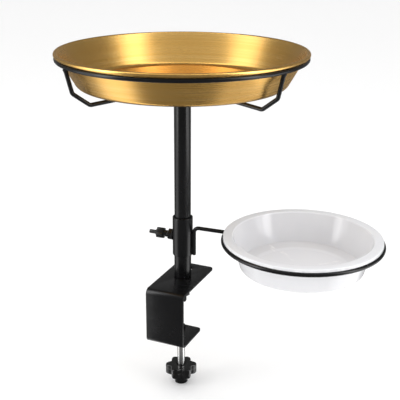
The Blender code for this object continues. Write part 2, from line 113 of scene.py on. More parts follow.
def buildSurfaceGrain():
    # a fine skin, such as powder coat or moulded plastic, over slow patches
    inputs = {"Grain Scale": 900.0, "Patch Scale": 22.0}
    tree, given, result = startGroup("surfaceGrain", inputs, ["Height", "Patches"])
    place = add(tree, "ShaderNodeTexCoord").outputs["Object"]
    grain = add(tree, "ShaderNodeTexNoise", {"Vector": place, "Scale": given["Grain Scale"], "Detail": 3.0})
    cells = add(tree, "ShaderNodeTexVoronoi", {"Vector": place, "Scale": given["Grain Scale"]}, feature="SMOOTH_F1")
    patches = add(tree, "ShaderNodeTexNoise", {"Vector": place, "Scale": given["Patch Scale"], "Detail": 5.0})
    height = maths(tree, "MULTIPLY_ADD", cells.outputs["Distance"], 0.6, grain.outputs[0])
    tree.links.new(height, result["Height"])
    tree.links.new(fitted(tree, patches.outputs[0], 0.3, 0.7), result["Patches"])
    return tree


def buildEdgeWear():
    # rubbed edges: the sharp rims of a shape, broken up by a patchy noise
    tree, given, result = startGroup("edgeWear", {"Start": 0.52, "End": 0.62, "Patch Scale": 160.0}, ["Mask"])
    place = add(tree, "ShaderNodeTexCoord").outputs["Object"]
    sharp = add(tree, "ShaderNodeNewGeometry").outputs["Pointiness"]
    inputs = {"Value": sharp, "From Min": given["Start"], "From Max": given["End"]}
    rim = add(tree, "ShaderNodeMapRange", inputs).outputs[0]
    noise = add(tree, "ShaderNodeTexNoise", {"Vector": place, "Scale": given["Patch Scale"], "Detail": 4.0})
    tree.links.new(maths(tree, "MULTIPLY", rim, fitted(tree, noise.outputs[0], 0.42, 0.66)), result["Mask"])
    return tree


def buildSpunLines():
    # the fine rings that a lathe or a polishing wheel leaves round an upright axis
    inputs = {"Lines Per Metre": 2600.0, "Wander": 0.7}
    tree, given, result = startGroup("spunLines", inputs, ["Lines", "Bands"])
    place = add(tree, "ShaderNodeTexCoord").outputs["Object"]
    axes = add(tree, "ShaderNodeSeparateXYZ", {0: place}).outputs
    squares = maths(tree, "MULTIPLY_ADD", axes[0], axes[0], maths(tree, "MULTIPLY", axes[1], axes[1]))
    radius = maths(tree, "SQRT", squares)
    slow = add(tree, "ShaderNodeTexNoise", {"Vector": place, "Scale": 14.0, "Detail": 2.0}).outputs[0]
    across = maths(tree, "MULTIPLY", radius, given["Lines Per Metre"])
    up = maths(tree, "MULTIPLY", axes[2], given["Lines Per Metre"])
    along = maths(tree, "MULTIPLY", slow, given["Wander"])
    vector = add(tree, "ShaderNodeCombineXYZ", {0: across, 1: up, 2: along}).outputs[0]
    lines = add(tree, "ShaderNodeTexNoise", {"Vector": vector, "Scale": 1.0, "Detail": 4.0, "Roughness": 0.7})
    coarse = add(tree, "ShaderNodeVectorMath", {0: vector, 1: (0.09, 0.09, 1.0)}, operation="MULTIPLY").outputs[0]
    bands = add(tree, "ShaderNodeTexNoise", {"Vector": coarse, "Scale": 1.0, "Detail": 2.0})
    tree.links.new(fitted(tree, lines.outputs[0], 0.3, 0.7), result["Lines"])
    tree.links.new(fitted(tree, bands.outputs[0], 0.35, 0.65), result["Bands"])
    return tree


surfaceGrain = buildSurfaceGrain()
edgeWear = buildEdgeWear()
spunLines = buildSpunLines()


def placed(tree, group, **inputs):
    made = tree.nodes.new("ShaderNodeGroup")
    made.node_tree = group
    for key, value in inputs.items():
        made.inputs[key.replace("_", " ")].default_value = value
    return made.outputs


def startFinish(name, **sockets):
    material = bpy.data.materials.new(name)
    material.use_nodes = True
    tree = material.node_tree
    shader = tree.nodes["Principled BSDF"]
    for key, value in sockets.items():
        shader.inputs[key.replace("_", " ")].default_value = value
    return material, tree, shader


def drive(tree, shader, socket, value):
    tree.links.new(value, shader.inputs[socket])


def bumped(tree, shader, height, distance, strength=1.0):
    bump = add(tree, "ShaderNodeBump", {"Height": height, "Strength": strength, "Distance": distance})
    drive(tree, shader, "Normal", bump.outputs[0])


brushedGold = {
    "light": (0.96, 0.60, 0.20, 1.0),
    "deep": (0.87, 0.49, 0.115, 1.0),
    "edge": (0.98, 0.76, 0.40, 1.0),
    "smoothest": 0.2,
    "roughest": 0.3,
    "grooveDepth": 0.003 * mm,
}


def makeBrushedGold():
    material, tree, shader = startFinish("brushedGold", Metallic=1.0, Anisotropic=0.6)
    spun = placed(tree, spunLines, Lines_Per_Metre=2400.0, Wander=0.9)
    skin = placed(tree, surfaceGrain, Grain_Scale=420.0, Patch_Scale=9.0)
    worn = placed(tree, edgeWear, Start=0.52, End=0.6, Patch_Scale=60.0)
    tone = maths(tree, "MULTIPLY_ADD", spun["Lines"], 0.55, maths(tree, "MULTIPLY", spun["Bands"], 0.45))
    colour = blended(tree, tone, brushedGold["deep"], brushedGold["light"])
    drive(tree, shader, "Base Color", blended(tree, worn["Mask"], colour, brushedGold["edge"]))
    uneven = maths(tree, "MULTIPLY_ADD", skin["Patches"], 0.5, maths(tree, "MULTIPLY", spun["Lines"], 0.5))
    drive(tree, shader, "Roughness",
          fitted(tree, uneven, 0.0, 1.0, brushedGold["smoothest"], brushedGold["roughest"]))
    bumped(tree, shader, spun["Lines"], brushedGold["grooveDepth"])
    tangent = add(tree, "ShaderNodeTangent", direction_type="RADIAL", axis="Z")
    drive(tree, shader, "Tangent", tangent.outputs[0])
    return material


def makeSkinned(name, finish, **sockets):
    # two close tones in patches, rubbed at the edges, over a fine grain
    material, tree, shader = startFinish(name, **sockets)
    skin = placed(tree, surfaceGrain, Grain_Scale=finish["grain"], Patch_Scale=finish["patches"])
    start, end, scale = finish["wear"]
    worn = placed(tree, edgeWear, Start=start, End=end, Patch_Scale=scale)
    colour = blended(tree, skin["Patches"], finish["deep"], finish["light"])
    drive(tree, shader, "Base Color", blended(tree, worn["Mask"], colour, finish["rubbed"]))
    drive(tree, shader, "Roughness",
          fitted(tree, skin["Patches"], 0.0, 1.0, finish["smoothest"], finish["roughest"]))
    bumped(tree, shader, skin["Height"], finish["depth"], 0.6)
    return material


# "wear" is where rubbing starts and ends on an edge, and the scale of its patches
blackCoat = {
    "deep": (0.0035, 0.0035, 0.004, 1.0),
    "light": (0.0045, 0.0045, 0.005, 1.0),
    "rubbed": (0.03, 0.03, 0.031, 1.0),
    "smoothest": 0.22,
    "roughest": 0.28,
    "grain": 850.0,
    "patches": 26.0,
    "wear": (0.58, 0.7, 190.0),
    "depth": 0.008 * mm,
}


zincSteel = {
    "bright": (0.80, 0.80, 0.79, 1.0),
    "cool": (0.60, 0.63, 0.68, 1.0),
    "warm": (0.66, 0.62, 0.54, 1.0),
    "smoothest": 0.14,
    "roughest": 0.22,
}


def makeZincSteel():
    material, tree, shader = startFinish("zincSteel", Metallic=1.0)
    skin = placed(tree, surfaceGrain, Grain_Scale=1500.0, Patch_Scale=55.0)
    tint = placed(tree, surfaceGrain, Grain_Scale=300.0, Patch_Scale=120.0)
    worn = placed(tree, edgeWear, Start=0.54, End=0.62, Patch_Scale=260.0)
    plating = blended(tree, tint["Patches"], zincSteel["cool"], zincSteel["warm"])
    colour = blended(tree, skin["Patches"], plating, zincSteel["bright"])
    drive(tree, shader, "Base Color", blended(tree, worn["Mask"], colour, zincSteel["bright"]))
    drive(tree, shader, "Roughness",
          fitted(tree, skin["Patches"], 0.0, 1.0, zincSteel["roughest"], zincSteel["smoothest"]))
    bumped(tree, shader, skin["Height"], 0.0015 * mm, 0.5)
    return material


darkZinc = {
    "deep": (0.02, 0.02, 0.021, 1.0),
    "light": (0.045, 0.045, 0.047, 1.0),
    "rubbed": (0.16, 0.16, 0.16, 1.0),
    "smoothest": 0.3,
    "roughest": 0.48,
    "grain": 1100.0,
    "patches": 75.0,
    "wear": (0.53, 0.62, 220.0),
    "depth": 0.02 * mm,
}


blackPlastic = {
    "deep": (0.003, 0.003, 0.003, 1.0),
    "light": (0.006, 0.006, 0.006, 1.0),
    "rubbed": (0.03, 0.03, 0.03, 1.0),
    "smoothest": 0.13,
    "roughest": 0.2,
    "grain": 1300.0,
    "patches": 48.0,
    "wear": (0.53, 0.64, 300.0),
    "depth": 0.006 * mm,
}


dishPlastic = {
    "milky": (0.74, 0.74, 0.755, 1.0),
    "clear": (0.70, 0.70, 0.72, 1.0),
    "thin": (0.86, 0.86, 0.87, 1.0),
    # painted light: the lighter tone painted on the floor and the lip
    "paintedLightTone": (0.78, 0.785, 0.81, 1.0),
    "smoothest": 0.1,
    "roughest": 0.18,
}


def makeDishPlastic():
    sockets = {"Subsurface_Weight": 0.2, "Subsurface_Scale": 0.004, "IOR": 1.49}
    material, tree, shader = startFinish("dishPlastic", **sockets)
    shader.inputs["Subsurface Radius"].default_value = (1.0, 1.0, 1.05)
    skin = placed(tree, surfaceGrain, Grain_Scale=240.0, Patch_Scale=16.0)
    worn = placed(tree, edgeWear, Start=0.51, End=0.58, Patch_Scale=90.0)
    colour = blended(tree, skin["Patches"], dishPlastic["clear"], dishPlastic["milky"])
    # painted light: the floor and the lip are painted a lighter tone than the wall, for the light that falls on them
    # and through them
    low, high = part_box("feeder_dish")
    up = add(tree, "ShaderNodeSeparateXYZ", {0: add(tree, "ShaderNodeTexCoord").outputs["Object"]}).outputs[2]
    onFloor = fitted(tree, up, low[2] + 2.6 * mm, low[2] + 3.4 * mm, 1.0, 0.0)
    onLip = fitted(tree, up, high[2] - 2.0 * mm, high[2] - 1.0 * mm)
    bright = maths(tree, "MAXIMUM", onFloor, onLip)
    colour = blended(tree, bright, colour, dishPlastic["paintedLightTone"])
    drive(tree, shader, "Base Color", blended(tree, worn["Mask"], colour, dishPlastic["thin"]))
    drive(tree, shader, "Roughness",
          fitted(tree, skin["Patches"], 0.0, 1.0, dishPlastic["smoothest"], dishPlastic["roughest"]))
    bumped(tree, shader, skin["Height"], 0.015 * mm, 0.35)
    return material


gold = makeBrushedGold()
coat = makeSkinned("blackPowderCoat", blackCoat, Specular_IOR_Level=0.38)
zinc = makeZincSteel()
dark = makeSkinned("darkZinc", darkZinc, Metallic=0.7)
plastic = makeSkinned("blackPlastic", blackPlastic, IOR=1.5, Specular_IOR_Level=0.5)
milky = makeDishPlastic()
print("finishes made")


# Shape building blocks

def rounded(points, radii, steps=5):
    # a line with its inner corners rounded; radii is one number or one for each point
    points = [Vector(point) for point in points]
    if not hasattr(radii, "__len__"):
        radii = [radii] * len(points)
    line = [points[0]]
    for before, corner, after, radius in zip(points, points[1:], points[2:], radii[1:]):
        back, ahead = (before - corner), (after - corner)
        half = back.angle(ahead) / 2
        if radius <= 0 or half > math.radians(89.5):
            line.append(corner)
            continue
        reach = min(radius / math.tan(half), 0.49 * back.length, 0.49 * ahead.length)
        radius = reach * math.tan(half)
        centre = corner + (back.normalized() + ahead.normalized()).normalized() * (radius / math.sin(half))
        start = corner + back.normalized() * reach - centre
        end = corner + ahead.normalized() * reach - centre
        sweep = math.pi - 2 * half
        for step in range(steps + 1):
            share = step / steps
            mixed = start * math.sin((1 - share) * sweep) + end * math.sin(share * sweep)
            line.append(centre + mixed / math.sin(sweep))
    line.append(points[-1])
    return line


def curled(centre, radius, first, last, steps):
    angles = [math.radians(first + (last - first) * step / steps) for step in range(steps + 1)]
    return [(centre[0] + radius * math.cos(a), centre[1] + radius * math.sin(a)) for a in angles]


def walled(face, thickness):
    # both sides of a turned wall, from its inner face listed from the axis outwards
    face = [Vector(point) for point in face]
    outer = []
    for number, point in enumerate(face):
        before = face[max(number - 1, 0)]
        after = face[min(number + 1, len(face) - 1)]
        arriving = (point - before).normalized() if number else (after - point).normalized()
        leaving = (after - point).normalized() if number < len(face) - 1 else arriving
        mean = (arriving + leaving).normalized()
        stretch = min(1.0 / max(mean.dot(arriving), 0.5), 1.6)
        outer.append(point + Vector((mean.y, -mean.x)) * thickness * stretch)
    outer[0].x = 0.0
    return face + list(reversed(outer))


def turned(profile, steps=64, closed=False, lobes=None):
    # a profile of (radius, height) turned about the upright axis; lobes(radius, angle) may reshape it
    shape = bmesh.new()
    rings = []
    for radius, height in profile:
        if radius < 1e-7:
            rings.append([shape.verts.new((0, 0, height))])
            continue
        ring = []
        for step in range(steps):
            angle = math.tau * step / steps
            out = lobes(radius, angle) if lobes else radius
            ring.append(shape.verts.new((out * math.cos(angle), out * math.sin(angle), height)))
        rings.append(ring)
    pairs = list(zip(rings, rings[1:]))
    if closed:
        pairs.append((rings[-1], rings[0]))
    for first, second in pairs:
        for step in range(steps):
            following = (step + 1) % steps
            corners = [first[step % len(first)], first[following % len(first)],
                       second[following % len(second)], second[step % len(second)]]
            corners = list(dict.fromkeys(corners))
            if len(corners) > 2:
                shape.faces.new(corners)
    return shape


def asObject(name, shape, at=(0, 0, 0), outwards=None):
    bmesh.ops.remove_doubles(shape, verts=shape.verts, dist=1e-7)
    bmesh.ops.recalc_face_normals(shape, faces=shape.faces)
    turn = Vector(outwards).to_track_quat("Z", "X").to_matrix().to_4x4() if outwards else Matrix.Identity(4)
    shape.transform(Matrix.Translation(at) @ turn)
    mesh = bpy.data.meshes.new(name)
    shape.to_mesh(mesh)
    shape.free()
    made = bpy.data.objects.new(name, mesh)
    bpy.context.scene.collection.objects.link(made)
    return made


def settled(made):
    # the shape as its modifiers leave it, kept as a plain mesh
    whole = bpy.context.evaluated_depsgraph_get()
    mesh = bpy.data.meshes.new_from_object(made.evaluated_get(whole), depsgraph=whole)
    mesh.name = made.name
    made.modifiers.clear()
    made.data = mesh
    return made


def fitPiece(made, material, body, slot, *nodes, sharp=32):
    if material.name not in made.data.materials:
        made.data.materials.clear()
        made.data.materials.append(material)
    made.data.shade_smooth()
    made.data.set_sharp_from_angle(angle=math.radians(sharp))
    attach(made, body)
    if nodes:
        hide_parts(*nodes)
    return made


# Geometry node trees

def startTree(name, inputs):
    tree = bpy.data.node_groups.new(name, "GeometryNodeTree")
    tree.interface.new_socket("Geometry", in_out="OUTPUT", socket_type="NodeSocketGeometry")
    tree.interface.new_socket("Geometry", in_out="INPUT", socket_type="NodeSocketGeometry")
    for label, (kind, value) in inputs.items():
        socket = tree.interface.new_socket(label, in_out="INPUT", socket_type="NodeSocket" + kind)
        if value is not None:
            socket.default_value = value
    return tree, tree.nodes.new("NodeGroupInput").outputs


def endTree(tree, geometry, material):
    whole = add(tree, "GeometryNodeRealizeInstances", {"Geometry": geometry}).outputs[0]
    painted = add(tree, "GeometryNodeSetMaterial", {"Geometry": whole, "Material": material}).outputs[0]
    add(tree, "NodeGroupOutput", {"Geometry": painted})
    return tree


def buildWireTree():
    # round wire bent along a line; the line's "girth" thins or swells it
    inputs = {"Wire Radius": ("Float", 0.0025), "Sides": ("Int", 20), "Finish": ("Material", None)}
    tree, given = startTree("bentWire", inputs)
    line = add(tree, "GeometryNodeMeshToCurve", {"Mesh": given["Geometry"]}).outputs[0]
    circle = add(tree, "GeometryNodeCurvePrimitiveCircle",
                 {"Resolution": given["Sides"], "Radius": given["Wire Radius"]}).outputs[0]
    girth = add(tree, "GeometryNodeInputNamedAttribute", {"Name": "girth"}, data_type="FLOAT").outputs[0]
    wire = add(tree, "GeometryNodeCurveToMesh",
               {"Curve": line, "Profile Curve": circle, "Scale": girth, "Fill Caps": True}).outputs[0]
    return endTree(tree, wire, given["Finish"])


def buildWeldTree():
    # a row of overlapping ripples along a line, as a weld leaves them
    inputs = {"Bead Radius": ("Float", 0.001), "Spacing": ("Float", 0.001), "Seed": ("Int", 7),
              "Finish": ("Material", None)}
    tree, given = startTree("weldSeam", inputs)
    line = add(tree, "GeometryNodeMeshToCurve", {"Mesh": given["Geometry"]}).outputs[0]
    spots = add(tree, "GeometryNodeCurveToPoints",
                {"Curve": line, "Length": given["Spacing"]}, mode="LENGTH").outputs
    ripple = add(tree, "GeometryNodeMeshIcoSphere", {"Radius": given["Bead Radius"], "Subdivisions": 3}).outputs[0]
    uneven = add(tree, "FunctionNodeRandomValue", {"Seed": given["Seed"]}, data_type="FLOAT_VECTOR")
    uneven.inputs[0].default_value = (0.8, 0.8, 0.7)
    uneven.inputs[1].default_value = (1.15, 1.15, 0.95)
    ripples = add(tree, "GeometryNodeInstanceOnPoints",
                  {"Points": spots["Points"], "Instance": ripple, "Rotation": spots["Rotation"],
                   "Scale": uneven.outputs[0]}).outputs[0]
    return endTree(tree, ripples, given["Finish"])


def buildThreadTree():
    # a screw thread cut round an upright rod, with both ends chamfered
    inputs = {"Radius": ("Float", 0.005), "Length": ("Float", 0.05), "Pitch": ("Float", 0.0015),
              "Depth": ("Float", 0.0008), "Sides": ("Int", 32), "Rows": ("Int", 200), "Finish": ("Material", None)}
    tree, given = startTree("cutThread", inputs)
    bar = add(tree, "GeometryNodeMeshCylinder",
              {"Vertices": given["Sides"], "Side Segments": given["Rows"], "Radius": given["Radius"],
               "Depth": given["Length"]}, fill_type="NGON").outputs[0]
    place = add(tree, "GeometryNodeInputPosition").outputs[0]
    axes = add(tree, "ShaderNodeSeparateXYZ", {0: place}).outputs
    turns = maths(tree, "DIVIDE", maths(tree, "ARCTAN2", axes[1], axes[0]), math.tau)
    climb = maths(tree, "SUBTRACT", maths(tree, "DIVIDE", axes[2], given["Pitch"]), turns)
    sawtooth = maths(tree, "SUBTRACT", maths(tree, "FRACT", climb), 0.5)
    flank = maths(tree, "MULTIPLY", maths(tree, "ABSOLUTE", sawtooth), 2.0)
    groove = add(tree, "ShaderNodeMapRange", {"Value": flank, "From Min": 0.12, "From Max": 0.88}).outputs[0]
    fromEnd = maths(tree, "SUBTRACT", maths(tree, "MULTIPLY", given["Length"], 0.5),
                    maths(tree, "ABSOLUTE", axes[2]))
    chamfer = maths(tree, "SUBTRACT", 1.0, maths(tree, "DIVIDE", fromEnd, given["Pitch"], clamp=True))
    deeper = maths(tree, "MAXIMUM", groove, chamfer)
    cut = maths(tree, "DIVIDE", maths(tree, "MULTIPLY", deeper, given["Depth"]), given["Radius"])
    left = maths(tree, "SUBTRACT", 1.0, cut)
    moved = add(tree, "ShaderNodeCombineXYZ",
                {0: maths(tree, "MULTIPLY", axes[0], left), 1: maths(tree, "MULTIPLY", axes[1], left), 2: axes[2]})
    threaded = add(tree, "GeometryNodeSetPosition", {"Geometry": bar, "Position": moved.outputs[0]}).outputs[0]
    return endTree(tree, threaded, given["Finish"])


def grown(made, tree, **values):
    # runs a tree on an object and keeps what it makes
    modifier = made.modifiers.new(tree.name, "NODES")
    modifier.node_group = tree
    for item in tree.interface.items_tree:
        key = item.name.replace(" ", "_")
        if item.in_out == "INPUT" and key in values:
            modifier[item.identifier] = values[key]
    return settled(made)


bentWire = buildWireTree()
weldSeam = buildWeldTree()
cutThread = buildThreadTree()


def lineObject(name, lines, closed=False, girths=None):
    mesh = bpy.data.meshes.new(name)
    points = [point for line in lines for point in line]
    edges = []
    start = 0
    for line in lines:
        edges += [(start + i, start + i + 1) for i in range(len(line) - 1)]
        if closed:
            edges.append((start + len(line) - 1, start))
        start += len(line)
    mesh.from_pydata([tuple(point) for point in points], edges, [])
    girth = mesh.attributes.new("girth", "FLOAT", "POINT")
    girth.data.foreach_set("value", girths or [1.0] * len(points))
    made = bpy.data.objects.new(name, mesh)
    bpy.context.scene.collection.objects.link(made)
    return made


def bentArm(name, route, bend, startSwell=1.0, endSwell=1.0):
    # an arm's line with chamfered ends, swollen a little where it is welded
    line = rounded(route, bend, steps=8)
    tip = 0.6 * mm
    flare = 3.0 * mm
    first, last = (line[1] - line[0]).normalized(), (line[-2] - line[-1]).normalized()
    line = [line[0], line[0] + first * tip, line[0] + first * flare] + line[1:-1] + [
        line[-1] + last * flare, line[-1] + last * tip, line[-1]]
    middle = [1.0] * (len(line) - 4)
    girths = [startSwell * 0.82, startSwell] + middle + [endSwell, endSwell * 0.82]
    made = lineObject(name, [line], girths=girths)
    return grown(made, bentWire, Wire_Radius=wireHalf, Sides=24, Finish=coat)


def wireRing(name, node):
    low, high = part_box(node)
    centre = [(low[axis] + high[axis]) / 2 for axis in range(3)]
    wireRadius = (high[2] - low[2]) / 2
    radius = (high[0] - low[0]) / 2 - wireRadius
    angles = [math.tau * step / 192 for step in range(192)]
    line = [(centre[0] + radius * math.cos(a), centre[1] + radius * math.sin(a), centre[2]) for a in angles]
    made = lineObject(name, [line], closed=True)
    return grown(made, bentWire, Wire_Radius=wireRadius, Sides=24, Finish=coat)


def ringAround(centre, axis, radius, steps=20):
    side = Vector(axis).orthogonal().normalized()
    spin = [Matrix.Rotation(math.tau * step / steps, 3, Vector(axis).normalized()) for step in range(steps + 1)]
    return [Vector(centre) + turn @ side * radius for turn in spin]


def hexNut(flats, height, bore):
    # a hexagon with both faces chamfered to a circle, and a countersunk bore
    steps = 96
    rim = flats * 0.475
    shape = bmesh.new()
    half = height / 2
    rows = []
    for step in range(steps):
        angle = math.tau * step / steps
        fold = angle % (math.pi / 3) - math.pi / 6
        corner = flats / 2 / math.cos(fold)
        drop = (corner - rim) * math.tan(math.radians(28))
        outline = [(bore, half - 0.5 * mm), (bore + 0.5 * mm, half), (rim, half), (corner, half - drop),
                   (corner, drop - half), (rim, -half), (bore + 0.5 * mm, -half), (bore, 0.5 * mm - half)]
        rows.append([shape.verts.new((r * math.cos(angle), r * math.sin(angle), z)) for r, z in outline])
    for row, following in zip(rows, rows[1:] + rows[:1]):
        count = len(row)
        for i in range(count):
            j = (i + 1) % count
            shape.faces.new([row[i], following[i], following[j], row[j]])
    return shape


def centreOf(node):
    low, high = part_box(node)
    return Vector([(low[axis] + high[axis]) / 2 for axis in range(3)])


# Pan

pan = {"sheet": 0.8, "baseRadius": 126.5, "cornerRadius": 9.0, "panelRadius": 104.0, "panelRise": 3.0, "slope": 5.0,
       "beadRadius": 2.46, "turns": 200}


def makePan():
    low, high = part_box("basin_pan")
    sheet = pan["sheet"] * mm
    bead = pan["beadRadius"] * mm
    beadCentre = (high[0] - bead, high[2] - bead)
    base = pan["baseRadius"] * mm
    floor = low[2] + sheet
    rise = pan["panelRise"] * mm
    lean = math.atan2(beadCentre[0] - bead - base, beadCentre[1] - low[2])
    panel = pan["panelRadius"] * mm
    meet = base - sheet * math.tan((math.pi / 2 - lean) / 2)
    wallTop = curled(beadCentre, bead, 180 - math.degrees(lean), -150, 20)
    face = [(0, floor + rise), (panel * 0.5, floor + rise), (panel, floor + rise),
            (panel + pan["slope"] * mm, floor), (meet, floor), wallTop[0]]
    line = rounded(face, [0, 0, 3.0 * mm, 3.0 * mm, pan["cornerRadius"] * mm - sheet, 0], steps=8)
    profile = walled([tuple(point) for point in line] + wallTop[1:], sheet)
    made = asObject("spunPan", turned(profile, pan["turns"]))
    fitPiece(made, gold, "pan", "brushed_gold", "basin_pan", sharp=40)


makePan()
print("pan made")


# Ring, arms and cap that carry the pan

carrier = {"armBend": 6.0, "hubEdge": 1.2, "weldRadius": 1.1, "capBore": 10.8, "capThickness": 3.0}


def makeCarrier():
    fitPiece(wireRing("panRing", "basin_ring"), coat, "carrier", "black_powder_coat", "basin_ring")
    low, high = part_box("hub_cap")
    radius, bore = high[0], carrier["capBore"] * mm
    top, foot, ceiling = high[2], low[2], high[2] - carrier["capThickness"] * mm
    edge = carrier["hubEdge"] * mm
    small = 0.5 * mm
    outline = [(0, top), (radius, top), (radius, foot), (bore, foot), (bore, ceiling), (0, ceiling)]
    profile = rounded(outline, [0, edge, small, small, small, 0], steps=4)
    fitPiece(asObject("hubCap", turned(profile, 72)), coat, "carrier", "black_powder_coat", "hub_cap")
    ringLow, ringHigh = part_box("basin_ring")
    ringZ = (ringLow[2] + ringHigh[2]) / 2
    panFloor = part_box("basin_pan")[0][2]
    ringRadius = ringHigh[0] - wireHalf
    side = [(ringRadius - 0.6 * mm, ringZ - 3.1 * mm), (ringRadius - 7.5 * mm, ringZ - 30.7 * mm),
            (121.5 * mm, panFloor - 12.5 * mm), (radius + 0.6 * mm, top - 6.0 * mm)]
    seams = []
    for number in (1, 2, 3):
        middle = centreOf(f"ring_arm_{number}")
        heading = math.atan2(middle.y, middle.x)
        out = Vector((math.cos(heading), math.sin(heading), 0))
        route = [out * r + Vector((0, 0, z)) for r, z in side]
        made = bentArm(f"panArm{number}", route, carrier["armBend"] * mm, 1.12, 1.06)
        fitPiece(made, coat, "carrier", "black_powder_coat", f"ring_arm_{number}")
        seams.append(ringAround(route[0] + Vector((0, 0, 0.3 * mm)), route[0] - route[1], 2.3 * mm))
        seams.append(ringAround(route[-1] - out * 0.2 * mm, out, 2.4 * mm))
    welds = grown(lineObject("carrierWelds", seams), weldSeam, Bead_Radius=carrier["weldRadius"] * mm,
                  Spacing=0.9 * mm, Seed=3, Finish=coat)
    fitPiece(welds, coat, "carrier", "black_powder_coat", sharp=60)


makeCarrier()
print("pan carrier made")


# Pole, with its bolt under the clamp

pole = {"wall": 1.2, "endEdge": 0.4, "turns": 72, "washerBore": 5.4, "nutBore": 5.1}


def tube(name, node, wall, edge, material, body, slot):
    low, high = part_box(node)
    radius = high[0]
    bore = radius - wall
    outline = [(radius, (low[2] + high[2]) / 2), (radius, high[2]), (bore, high[2]), (bore, low[2]), (radius, low[2]),
               (radius, (low[2] + high[2]) / 2 - 1e-5)]
    profile = rounded(outline, [0, edge, edge * 0.5, edge * 0.5, edge, 0], steps=4)
    made = asObject(name, turned(profile, pole["turns"], closed=True))
    return fitPiece(made, material, body, slot, node)


def threadedRod(name, node, pitch, depth, sides, material, body, slot, outwards=None, length=None, centre=None):
    low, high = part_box(node)
    length = length or high[2] - low[2]
    radius = (high[2] - low[2]) / 2 if outwards else high[0]
    empty = lineObject(name, [[(0, 0, 0), (0, 0, length)]])
    rows = int(length / pitch * 8)
    made = grown(empty, cutThread, Radius=radius, Length=length, Pitch=pitch, Depth=depth, Sides=sides, Rows=rows,
                 Finish=material)
    turn = Vector(outwards).to_track_quat("Z", "X").to_matrix().to_4x4() if outwards else Matrix.Identity(4)
    made.data.transform(Matrix.Translation(centre or centreOf(node)) @ turn)
    return fitPiece(made, material, body, slot, node, sharp=60)


def springWasher(inner, outer, thickness):
    # one turn of square wire, split by a slanting gap
    shape = bmesh.new()
    steps, gap, edge = 72, 0.14, 0.35 * mm
    outline = [(inner, edge), (inner + edge, 0), (outer - edge, 0), (outer, edge),
               (outer, thickness - edge), (outer - edge, thickness), (inner + edge, thickness),
               (inner, thickness - edge)]
    rows = []
    for step in range(steps + 1):
        row = []
        for radius, height in outline:
            lean = (height / thickness - 0.5) * 0.16
            angle = gap + (math.tau - 2 * gap) * step / steps + lean
            row.append(shape.verts.new((radius * math.cos(angle), radius * math.sin(angle), height)))
        rows.append(row)
    for row, following in zip(rows, rows[1:]):
        for i in range(8):
            j = (i + 1) % 8
            shape.faces.new([row[i], row[j], following[j], following[i]])
    shape.faces.new(rows[0])
    shape.faces.new(list(reversed(rows[-1])))
    return shape


def makePole():
    wall, edge = pole["wall"] * mm, pole["endEdge"] * mm
    tube("upperTube", "upper_pole", wall, edge, coat, "pole", "black_powder_coat")
    tube("lowerTube", "lower_pole", wall, edge, coat, "pole", "black_powder_coat")
    threadedRod("poleBolt", "pole_stud", 1.5 * mm, 0.8 * mm, 32, dark, "pole", "dark_zinc")
    low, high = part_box("pole_washer")
    bore = pole["washerBore"] * mm
    outline = [(bore, low[2]), (high[0], low[2]), (high[0], high[2]), (bore, high[2]), (bore, low[2])]
    profile = rounded(outline, [0, 0.3 * mm, 0.4 * mm, 0.3 * mm, 0], steps=3)[:-1]
    washer = asObject("flatWasher", turned(profile, 64, closed=True))
    fitPiece(washer, dark, "pole", "dark_zinc", "pole_washer")
    low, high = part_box("pole_spring_washer")
    spring = asObject("springWasher", springWasher(bore, high[0], high[2] - low[2]), at=(0, 0, low[2]))
    fitPiece(spring, dark, "pole", "dark_zinc", "pole_spring_washer")
    low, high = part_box("pole_nut")
    nutShape = hexNut(high[1] - low[1], high[2] - low[2], pole["nutBore"] * mm)
    nut = asObject("poleNut", nutShape, at=centreOf("pole_nut"))
    fitPiece(nut, dark, "pole", "dark_zinc", "pole_nut", sharp=25)
    for node in ("pole_joint_plug", "pole_foot_plug"):
        inside = frame["nodes"][node]
        inside.data.materials.clear()
        inside.data.materials.append(zinc)


makePole()
print("pole made")


# Clamp: one strip of sheet bent twice

clamp = {"sheet": 3.0, "bend": 7.0, "corner": 4.5, "bendSteps": 14, "edge": 0.45, "studHole": 5.3, "spareHole": 3.5,
         "spareHoleY": 27.0, "screwHole": 5.3, "pastScrew": 8.0}


